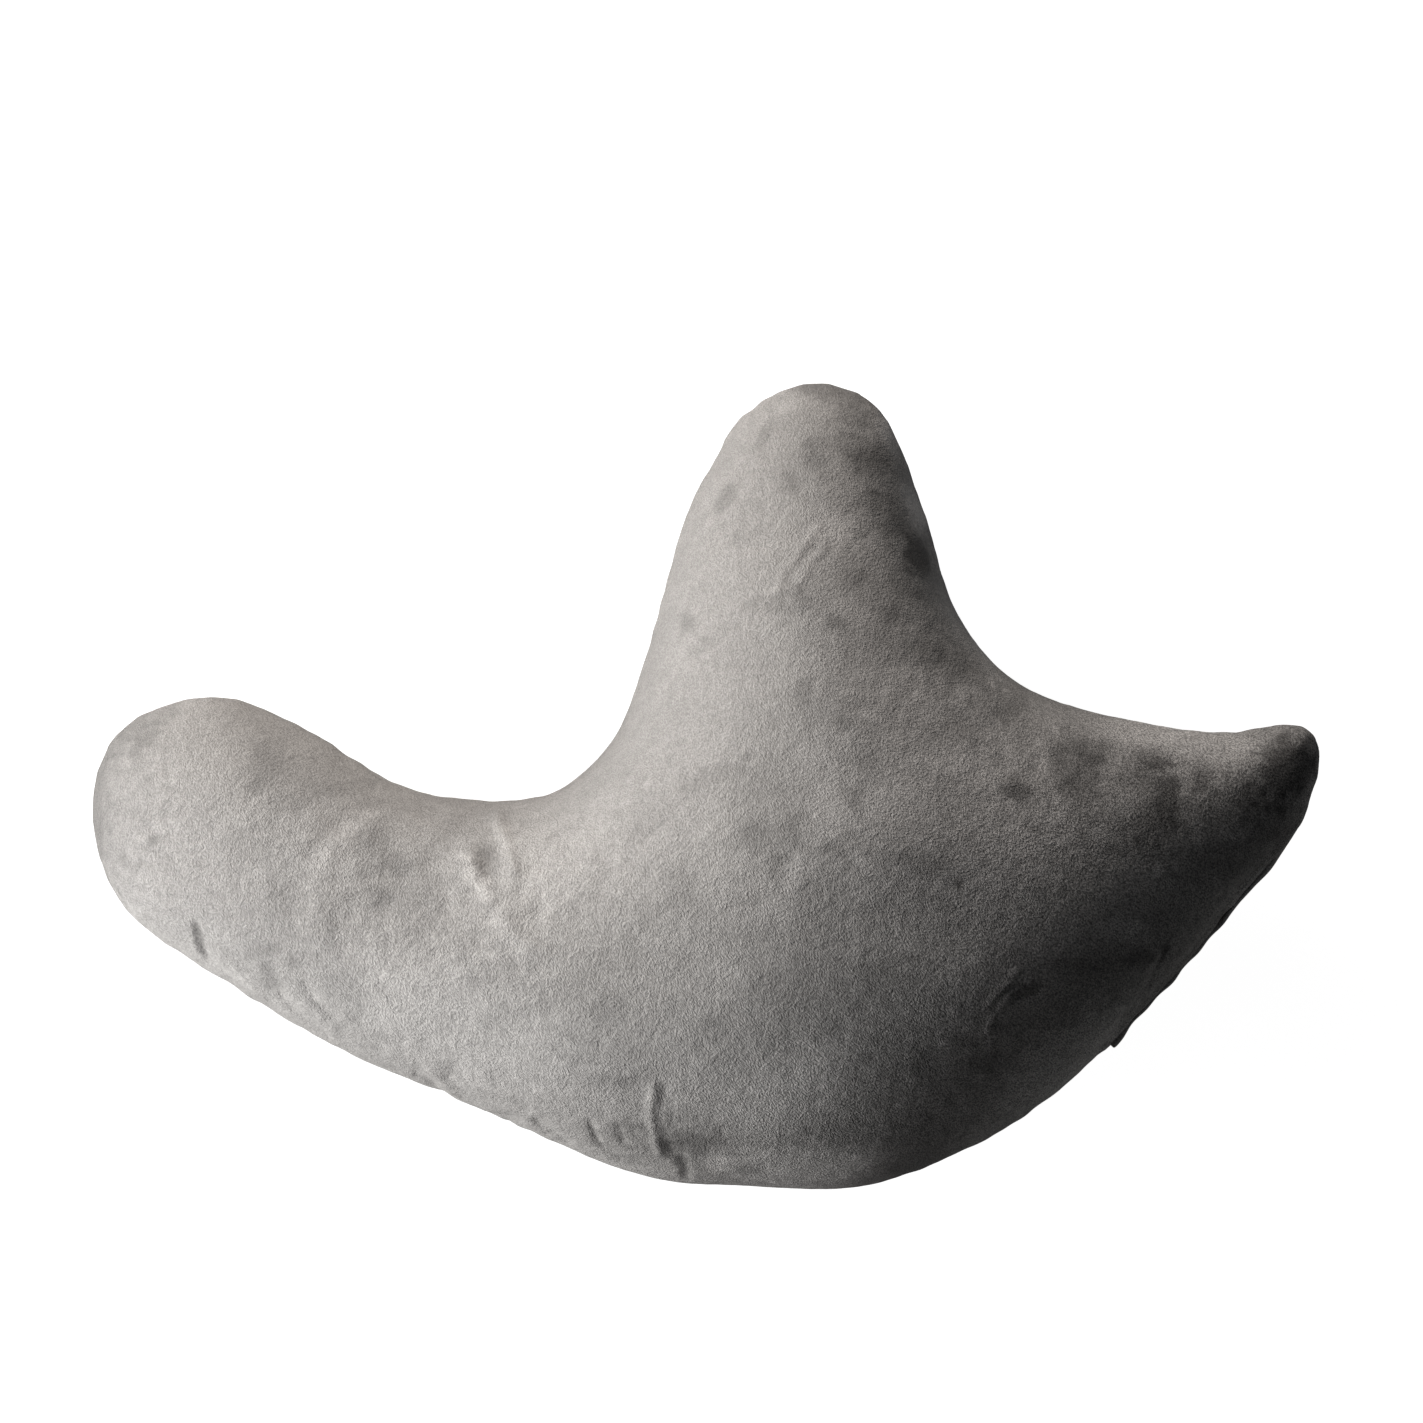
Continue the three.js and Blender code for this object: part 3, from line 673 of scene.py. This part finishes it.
@dataclass(frozen=True)
class PlushFinish:
    """Short-pile plush in one colour, with the heights of its relief in metres."""

    name: str
    colour: tuple[float, float, float]
    nap_contrast: float = 0.088
    grain_depth: float = 0.2
    sheen: float = 0.1
    sheen_rough: float = 0.45
    sheen_tint: tuple[float, float, float] = (0.95, 0.93, 0.9)
    rough: float = 0.95
    gloss: float = 0.1
    lean_strength: float = 0.4
    lean_high: float = 0.0004
    pile_strength: float = 0.7
    pile_high: float = 0.00095

    def material(self, groups: PlushGroups) -> bpy.types.Material:
        """Makes the material.

        Args:
            groups: the shared effects.

        Returns:
            The new material.
        """
        made = bpy.data.materials.new(self.name)
        made.use_nodes = True
        made.node_tree.nodes.clear()
        board = NodeBoard(made.node_tree)
        place = board.add("ShaderNodeTexCoord").outputs["Object"]
        nap = board.add("ShaderNodeGroup", node_tree=groups.nap)
        board.feed(nap, Place=place, Contrast=self.nap_contrast)
        grain = board.add("ShaderNodeGroup", node_tree=groups.grain)
        stand = board.add("ShaderNodeAttribute", attribute_name=PILE_STAND)
        board.feed(grain, Place=place, Depth=board.sum("MULTIPLY", stand.outputs["Fac"], self.grain_depth))
        # This layer multiplies the colour: the pile's mottling together with painted shade and painted
        # highlight.
        mark = board.add("ShaderNodeAttribute", attribute_name=NAP_AND_SHADE_LAYER)
        shade = board.sum("MULTIPLY", nap.outputs["Shade"], grain.outputs["Shade"])
        shade = board.sum("MULTIPLY", shade, mark.outputs["Fac"])
        colour = board.add("ShaderNodeVectorMath", operation="SCALE")
        board.feed_at(colour, 0, self.colour)
        board.feed_at(colour, "Scale", shade)
        lean = board.add("ShaderNodeBump")
        board.feed(lean, Height=nap.outputs["Lean"], Strength=self.lean_strength, Distance=self.lean_high)
        pile = board.add("ShaderNodeBump")
        board.feed(pile, Height=grain.outputs["Height"], Normal=lean.outputs["Normal"])
        board.feed(pile, Strength=self.pile_strength, Distance=self.pile_high)
        surface = board.add("ShaderNodeBsdfPrincipled")
        surface.inputs["Sheen Weight"].default_value = self.sheen
        surface.inputs["Sheen Roughness"].default_value = self.sheen_rough
        surface.inputs["Sheen Tint"].default_value = (*self.sheen_tint, 1.0)
        surface.inputs["Roughness"].default_value = self.rough
        surface.inputs["Specular IOR Level"].default_value = self.gloss
        board.feed_at(surface, "Base Color", colour.outputs[0])
        board.feed_at(surface, "Normal", pile.outputs["Normal"])
        out = board.add("ShaderNodeOutputMaterial")
        board.feed_at(out, "Surface", surface.outputs[0])
        return made


@dataclass
class StuffedBody:
    """The two panels, sewn, turned and stuffed, with sizes in millimetres."""

    finish: PlushFinish
    belt: Belt = field(default_factory=Belt)
    voxel: float = 5.4
    slack: float = 4.0
    cap: float = 6.0
    pressure: float = 4.0
    cloth_quality: int = 5
    frames: int = 20
    even_rounds: int = 40
    resting_high: float = 12.0
    seam_deep: float = 1.6
    seam_half: float = 2.5
    seam_swell: float = 0.4
    swell_away: float = 8.0
    swell_half: float = 4.5
    side_slope: float = 0.8
    pucker_high: float = 0.35
    pucker_reach: float = 13.0
    pucker_apart: float = 17.0
    pucker_patch: float = 120.0
    pucker_root: float = 2.0
    lump_high: float = 0.5
    lump_apart: float = 85.0
    ruffle_high: float = 0.05
    ruffle_apart: float = 9.0
    ruffle_waves: int = 40
    lip_reach: float = 9.0
    lip_press: float = 1.6
    lip_full: float = 1.4
    narrow: float = 5.5
    fine_reach: float = 2.2
    mark_strength: float = 1.15
    mark_fade: float = 22.0
    mark_soft: float = 1.6
    mark_ragged: float = 0.15
    ragged_apart: float = 8.0
    # How the colour changes with the way a side faces: sides facing -X are painted darker and sides facing +X
    # painted lighter, painted shade and painted light that even out the low lamps from the left.
    lean_and_side_shade_way: tuple[float, float] = (0.45, -0.22)
    ruffled_way: tuple[float, float] = (0.86, -0.5)
    ruffled_from: float = 50.0
    ruffled_over: float = 170.0
    ruffled_most: float = 2.5

    def build(self, groups: PlushGroups) -> bpy.types.Object:
        """Makes the dressed body.

        Args:
            groups: the shared effects of the plush.

        Returns:
            The finished piece.
        """
        piece = copy_of_node("body", "plush_body")
        self._stuff(piece)
        self._sew(piece)
        self._crease(piece)
        self._paint_marks_and_shade(piece)
        piece.data.materials.append(self.finish.material(groups))
        piece.data.shade_smooth()
        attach(piece, "root")
        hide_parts("body")
        return piece

    def _stuff(self, piece: bpy.types.Object) -> None:
        """Turns the solid into an even net, takes it in, and blows it up again as cloth.

        Args:
            piece: the body, with the solid's mesh.
        """
        solid = BVHTree.FromObject(piece, bpy.context.evaluated_depsgraph_get())
        remesh = piece.modifiers.new("net", "REMESH")
        remesh.mode = "VOXEL"
        remesh.voxel_size = self.voxel * MM
        apply_modifiers(piece)
        start = points_of(piece.data)
        normals = normals_of(piece.data)
        set_points(piece.data, start - normals * self.slack * MM)
        self._blow(piece)
        blown = ((points_of(piece.data) - start) * normals).sum(axis=1) / MM
        drawn = np.clip(blown - self._evened(piece.data, blown), -self.cap, self.cap)
        drawn *= smooth_step(start[:, 2] / (self.resting_high * MM))
        set_points(piece.data, start + normals * (drawn * MM)[:, None])
        finer = piece.modifiers.new("finer", "SUBSURF")
        finer.levels = 1
        apply_modifiers(piece)
        self._return_to(solid, piece.data)

    def _return_to(self, solid: BVHTree, mesh: bpy.types.Mesh) -> None:
        """Moves the net out to the solid's surface again, but leaves the solid's flat facets behind.

        Args:
            solid: the solid's surface.
            mesh: the net.
        """
        points = points_of(mesh)
        normals = normals_of(mesh)
        nearest = np.array([solid.find_nearest(Vector(point))[0] for point in points])
        short = ((nearest - points) * normals).sum(axis=1)
        set_points(mesh, points + normals * self._evened(mesh, short)[:, None])

    def _evened(self, mesh: bpy.types.Mesh, values: np.ndarray) -> np.ndarray:
        """Values on the vertices, each spread over its neighbours many times.

        Args:
            mesh: the net that joins the vertices.
            values: one number for each vertex.

        Returns:
            The broad part of the values.
        """
        ends = np.empty(len(mesh.edges) * 2, dtype=np.int32)
        mesh.edges.foreach_get("vertices", ends)
        first, second = ends.reshape(-1, 2).T
        count = np.bincount(ends, minlength=len(values))
        even = values
        for _ in range(self.even_rounds):
            total = np.bincount(first, even[second], len(values))
            total += np.bincount(second, even[first], len(values))
            even = 0.5 * even + 0.5 * total / count
        return even

    def _blow(self, piece: bpy.types.Object) -> None:
        """Runs the cloth under pressure and keeps its last shape.

        Args:
            piece: the body, taken in by the slack.
        """
        cloth = piece.modifiers.new("cover", "CLOTH")
        cloth.settings.use_pressure = True
        cloth.settings.uniform_pressure_force = self.pressure
        cloth.settings.effector_weights.gravity = 0.0
        cloth.settings.quality = self.cloth_quality
        scene = bpy.context.scene
        for step in range(1, self.frames + 1):
            scene.frame_set(step)
        evaluated = piece.evaluated_get(bpy.context.evaluated_depsgraph_get())
        blown = points_of(evaluated.data)
        piece.modifiers.clear()
        set_points(piece.data, blown)
        scene.frame_set(1)

    def _sew(self, piece: bpy.types.Object) -> None:
        """Draws the seam in all the way round, with puckers beside it, and makes the fill uneven.

        Args:
            piece: the stuffed body.
        """
        mesh = piece.data
        points = points_of(mesh) / MM
        normals = normals_of(mesh)
        rise = points[:, 2] - self.belt.at(points)
        beside = np.abs(normals[:, 2]) < self.side_slope
        under_lip = self._under_lip(points, rise)
        groove = np.exp(-((rise / self.seam_half) ** 2)) * beside * (1.0 - under_lip)
        swell = np.exp(-(((np.abs(rise) - self.swell_away) / self.swell_half) ** 2)) * beside
        lift = self.seam_swell * swell - self.seam_deep * groove
        lift += self._puckers(points, rise, beside) * (1.0 - under_lip) + self.lip_press * under_lip
        uneven = self.lump_high * waves(points, self.lump_apart, Draw.LUMPS)
        uneven += self.ruffle_high * waves(points, self.ruffle_apart, Draw.RUFFLES, self.ruffle_waves)
        lift += uneven * smooth_step(points[:, 2] / self.resting_high)
        set_points(mesh, (points + normals * lift[:, None]) * MM)

    def _under_lip(self, points: np.ndarray, rise: np.ndarray) -> np.ndarray:
        """How far each vertex is covered by the closing lip, from 0 to 1.

        Args:
            points: the vertices, in millimetres.
            rise: their heights over the seam.

        Returns:
            One share for each vertex.
        """
        lip = BVHTree.FromObject(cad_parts["closing_lip"], bpy.context.evaluated_depsgraph_get())
        reach = self.lip_reach * MM
        covered = np.zeros(len(points))
        for vertex in np.flatnonzero((np.abs(rise) < 3.0 * self.lip_reach) & (points[:, 0] > 0.0)):
            away = lip.find_nearest(Vector(points[vertex] * MM), reach)[3]
            if away is not None:
                covered[vertex] = 1.0 - away / reach
        return smooth_step(covered * self.lip_full)

    def _puckers(self, points: np.ndarray, rise: np.ndarray, beside: np.ndarray) -> np.ndarray:
        """Short wrinkles that run away from the seam on both sides.

        Args:
            points: the vertices, in millimetres.
            rise: their heights over the seam.
            beside: whether each faces sideways.

        Returns:
            How far each vertex moves out, in millimetres.
        """
        on_seam = np.flatnonzero(beside & (np.abs(rise) < self.pucker_root))
        tree = kdtree.KDTree(len(on_seam))
        for index, vertex in enumerate(on_seam):
            tree.insert((*points[vertex, :2], 0.0), index)
        tree.balance()
        flat = points[on_seam] * (1.0, 1.0, 0.0)
        along = waves(flat, self.pucker_apart, Draw.PUCKERS)
        along *= smooth_step(0.5 + 0.5 * waves(flat, self.pucker_patch, Draw.PUCKER_PATCHES))
        far = 3.0 * self.pucker_reach
        lift = np.zeros(len(points))
        for vertex in np.flatnonzero(np.abs(rise) < far):
            _, index, away = tree.find((points[vertex, 0], points[vertex, 1], 0.0))
            reach = math.hypot(away, rise[vertex])
            if reach < far:
                fade = math.exp(-((reach / self.pucker_reach) ** 2))
                lift[vertex] = self.pucker_high * along[index] * fade
        return lift

    def _crease(self, piece: bpy.types.Object) -> None:
        """Presses the folds of the table into the cover, on a finer net beside them.

        Args:
            piece: the sewn body.
        """
        mesh = piece.data
        self._refine(mesh)
        points = points_of(mesh) / MM
        normals = normals_of(mesh)
        lift = sum(self._one_crease(points, crease) for crease in CREASES)
        lift *= points[:, 2] > self.belt.at(points)
        set_points(mesh, (points + normals * lift[:, None]) * MM)

    def _refine(self, mesh: bpy.types.Mesh) -> None:
        """Halves the net's edges beside the narrow creases.

        Args:
            mesh: the body's net.
        """
        points = points_of(mesh) / MM
        upper = points[:, 2] > self.belt.at(points)
        near = np.zeros(len(points), dtype=bool)
        for crease in CREASES:
            if min(crease.left, crease.right) > self.narrow:
                continue
            left, right = self.fine_reach * crease.left, self.fine_reach * crease.right
            beside = self._one_crease(points, replace(crease, high=1.0, left=left, right=right))
            near |= (beside > math.exp(-1.0)) & upper
        net = bmesh.new()
        net.from_mesh(mesh)
        edges = [edge for edge in net.edges if near[edge.verts[0].index] and near[edge.verts[1].index]]
        bmesh.ops.subdivide_edges(net, edges=edges, cuts=1, use_grid_fill=True)
        net.to_mesh(mesh)
        net.free()

    @staticmethod
    def _one_crease(points: np.ndarray, crease: Crease) -> np.ndarray:
        """How far one crease moves each point out, in millimetres.

        Args:
            points: the points, in millimetres.
            crease: the crease.

        Returns:
            One distance for each point.
        """
        best = np.full(len(points), np.inf)
        half = np.full(len(points), crease.left)
        for (ax, ay), (bx, by) in zip(crease.line, crease.line[1:]):
            along = np.array([bx - ax, by - ay])
            away = points[:, :2] - (ax, ay)
            share = np.clip(away @ along / (along @ along), 0.0, 1.0)
            gap = away - share[:, None] * along
            distance = np.hypot(gap[:, 0], gap[:, 1])
            on_left = along[0] * away[:, 1] - along[1] * away[:, 0] > 0.0
            closer = distance < best
            best = np.where(closer, distance, best)
            half = np.where(closer, np.where(on_left, crease.left, crease.right), half)
        return crease.high * np.exp(-((best / half) ** 2))

    def _paint_marks_and_shade(self, piece: bpy.types.Object) -> None:
        """Writes on the vertices a painted shade and how far the pile stands up: sides facing -X darker and
        sides facing +X lighter, times the marks of the table, which are partly the pile's mottling and partly
        painted shade and painted highlight.

        Args:
            piece: the creased body.
        """
        mesh = piece.data
        points = points_of(mesh) / MM
        above = smooth_step(1.0 + (points[:, 2] - self.belt.at(points)) / self.mark_fade)
        # Painted shade on the sides that face -X and painted light on the sides that face +X.
        shade = 1.0 + normals_of(mesh)[:, :2] @ np.array(self.lean_and_side_shade_way)
        ragged = 1.0 + self.mark_ragged * waves(points, self.ragged_apart, Draw.RAGGED_MARKS)
        for mark in NAP_AND_SHADE_MARKS:
            turn = math.radians(mark.turn)
            away = points[:, :2] - mark.at
            across = (away[:, 0] * math.cos(turn) + away[:, 1] * math.sin(turn)) / mark.size[0]
            up = (away[:, 1] * math.cos(turn) - away[:, 0] * math.sin(turn)) / mark.size[1]
            inside = smooth_step(self.mark_soft - np.hypot(across, up) * ragged) * above
            shade *= 1.0 + (mark.shade - 1.0) * self.mark_strength * inside
        write_layer(mesh, NAP_AND_SHADE_LAYER, shade)
        along = (points[:, :2] @ np.array(self.ruffled_way) - self.ruffled_from) / self.ruffled_over
        write_layer(mesh, PILE_STAND, 1.0 + (self.ruffled_most - 1.0) * smooth_step(along))


@dataclass
class ClosingLip:
    """The fold of the cover sewn over the closing, with the tab at its lower end."""

    finish: PlushFinish
    same_place: float = 1e-6
    flat_enough: float = 0.7
    square_enough: float = 0.9
    levels: int = 2
    ripple: float = 0.35
    ripple_apart: float = 22.0
    stand: float = 1.8

    def build(self, groups: PlushGroups) -> bpy.types.Object:
        """Makes the dressed lip.

        Args:
            groups: the shared effects of the plush.

        Returns:
            The finished piece.
        """
        piece = copy_of_node("closing_lip", "folded_lip")
        self._join_faces(piece.data)
        finer = piece.modifiers.new("finer", "SUBSURF")
        finer.levels = self.levels
        apply_modifiers(piece)
        points = points_of(piece.data) / MM
        lift = self.ripple * waves(points, self.ripple_apart, Draw.LIP_RIPPLE)
        set_points(piece.data, (points + normals_of(piece.data) * lift[:, None]) * MM)
        write_layer(piece.data, NAP_AND_SHADE_LAYER, np.ones(len(points)))
        write_layer(piece.data, PILE_STAND, np.full(len(points), self.stand))
        piece.data.materials.append(self.finish.material(groups))
        piece.data.shade_smooth()
        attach(piece, "root")
        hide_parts("closing_lip")
        return piece

    def _join_faces(self, mesh: bpy.types.Mesh) -> None:
        """Joins the solid's triangles to four-sided faces, which smooth without dents.

        Args:
            mesh: the lip's mesh.
        """
        net = bmesh.new()
        net.from_mesh(mesh)
        bmesh.ops.remove_doubles(net, verts=net.verts, dist=self.same_place)
        bmesh.ops.join_triangles(
            net,
            faces=net.faces,
            angle_face_threshold=self.flat_enough,
            angle_shape_threshold=self.square_enough,
        )
        net.to_mesh(mesh)
        net.free()


@dataclass(frozen=True)
class Lamp:
    """A soft round lamp aimed at the pillow: angles in degrees, sizes in metres, power in watts."""

    name: str
    azimuth: float
    elevation: float
    away: float
    wide: float
    power: float
    colour: tuple[float, float, float]

    def place(self, aim: Vector) -> bpy.types.Object:
        """Hangs the lamp.

        Args:
            aim: the point it faces, in metres.

        Returns:
            The lamp.
        """
        light = bpy.data.lights.new(self.name, "AREA")
        light.shape = "DISK"
        light.size = self.wide
        light.energy = self.power
        light.color = self.colour
        lamp = bpy.data.objects.new(self.name, light)
        around, up = math.radians(self.azimuth), math.radians(self.elevation)
        way = Vector((math.cos(around) * math.cos(up), math.sin(around) * math.cos(up), math.sin(up)))
        lamp.location = aim + way * self.away
        lamp.rotation_mode = "QUATERNION"
        lamp.rotation_quaternion = way.to_track_quat("Z", "Y")
        lamp.visible_camera = False
        bpy.context.scene.collection.objects.link(lamp)
        return lamp


@dataclass
class Studio:
    """The pale floor, the lamps, the room's own light and the camera.

    The floor and the aim are in metres, and what the camera frames is in millimetres.
    """

    lamps: tuple[Lamp, ...]
    aim: tuple[float, float, float] = (0.0, 0.0, 0.07)
    lens: float = 90.0
    sensor: float = 36.0
    frame_wide: float = 809.1
    eye: tuple[float, float] = (3.2, 41.1)
    seam_high: float = 66.0
    floor_half: float = 6.0
    floor_low: float = -0.0004
    floor_paint: float = 0.35
    floor_glow: float = 0.98
    floor_bounce: float = 0.14
    room_light: tuple[float, float, float] = (0.012, 0.0125, 0.0135)
    room_pale: float = 0.95

    def build(self) -> None:
        """Sets up everything round the pillow."""
        self._floor()
        self._room()
        for lamp in self.lamps:
            lamp.place(Vector(self.aim))
        self._camera()

    def _floor(self) -> None:
        """A wide pale floor, which shows only its upper side."""
        mesh = bpy.data.meshes.new("floor")
        half, low = self.floor_half, self.floor_low
        corners = [(-half, -half, low), (half, -half, low), (half, half, low), (-half, half, low)]
        mesh.from_pydata(corners, [], [(0, 1, 2, 3)])
        floor = bpy.data.objects.new("floor", mesh)
        bpy.context.scene.collection.objects.link(floor)
        paint = bpy.data.materials.new("pale floor")
        paint.use_nodes = True
        paint.node_tree.nodes.clear()
        board = NodeBoard(paint.node_tree)
        matt = board.shader("ShaderNodeBsdfDiffuse", Color=grey(self.floor_paint))
        glow = board.shader("ShaderNodeEmission", Color=grey(1.0), Strength=self.floor_glow)
        both = board.add("ShaderNodeAddShader")
        board.feed_at(both, 0, matt)
        board.feed_at(both, 1, glow)
        bounce = board.shader("ShaderNodeEmission", Color=grey(1.0), Strength=self.floor_bounce)
        seen = board.add("ShaderNodeLightPath").outputs["Is Camera Ray"]
        upper = board.either(seen, bounce, both.outputs[0])
        below = board.add("ShaderNodeNewGeometry").outputs["Backfacing"]
        sides = board.either(below, upper, board.shader("ShaderNodeBsdfTransparent"))
        board.feed_at(board.add("ShaderNodeOutputMaterial"), "Surface", sides)
        mesh.materials.append(paint)

    def _room(self) -> None:
        """A pale room that lights the pillow only faintly."""
        world = bpy.data.worlds.new("room")
        bpy.context.scene.world = world
        world.use_nodes = True
        world.node_tree.nodes.clear()
        board = NodeBoard(world.node_tree)
        faint = board.shader("ShaderNodeBackground", Color=(*self.room_light, 1.0))
        pale = board.shader("ShaderNodeBackground", Color=grey(self.room_pale))
        seen = board.add("ShaderNodeLightPath").outputs["Is Camera Ray"]
        board.feed_at(board.add("ShaderNodeOutputWorld"), "Surface", board.either(seen, faint, pale))
        bpy.context.scene.view_settings.view_transform = "Standard"

    def _camera(self) -> None:
        """Looks straight down on the face, so that the frame is as wide as the photograph's at the seam."""
        eye = bpy.data.cameras.new("camera")
        eye.lens = self.lens
        eye.sensor_width = self.sensor
        camera = bpy.data.objects.new("camera", eye)
        away = self.frame_wide * self.lens / self.sensor
        camera.location = (self.eye[0] * MM, self.eye[1] * MM, (self.seam_high + away) * MM)
        bpy.context.scene.collection.objects.link(camera)
        bpy.context.scene.camera = camera


PLUSH = PlushFinish("warm grey plush", (0.340, 0.331, 0.315))
# The lip is the same plush painted paler: painted light for the light its shaded top and outer side don't
# get, level with the body's painted-lighter right sides.
LIP_PLUSH_PAINTED_PALER = PlushFinish("folded plush, painted paler", (0.50, 0.484, 0.46), nap_contrast=0.08)

LAMPS = (
    Lamp("window", 153.0, 28.0, 2.6, 1.2, 31.0, (1.0, 0.985, 1.02)),
    Lamp("window, low", 180.0, 8.0, 2.6, 1.2, 129.0, (1.0, 1.0, 1.0)),
    Lamp("near fill, upper left", 120.0, 15.0, 1.2, 0.6, 11.1, (1.08, 0.99, 0.93)),
    Lamp("near fill, lower left", 210.0, 15.0, 1.2, 0.6, 4.4, (1.02, 0.98, 1.01)),
    Lamp("bounce, upper right", 60.0, 5.0, 2.6, 1.2, 4.5, (0.98, 0.98, 1.05)),
    Lamp("bounce, lower right", 320.0, 5.0, 2.6, 1.2, 0.4, (0.98, 0.98, 1.05)),
)


def main() -> None:
    """Builds the pillow and the studio, and reports each piece."""
    logging.basicConfig(level=logging.INFO, format="%(message)s")
    groups = PlushGroups()
    for maker in (StuffedBody(PLUSH), ClosingLip(LIP_PLUSH_PAINTED_PALER)):
        piece = maker.build(groups)
        log.info("%s: %d faces", piece.name, len(piece.data.polygons))
    Studio(LAMPS).build()


if __name__ == "__main__":
    main()
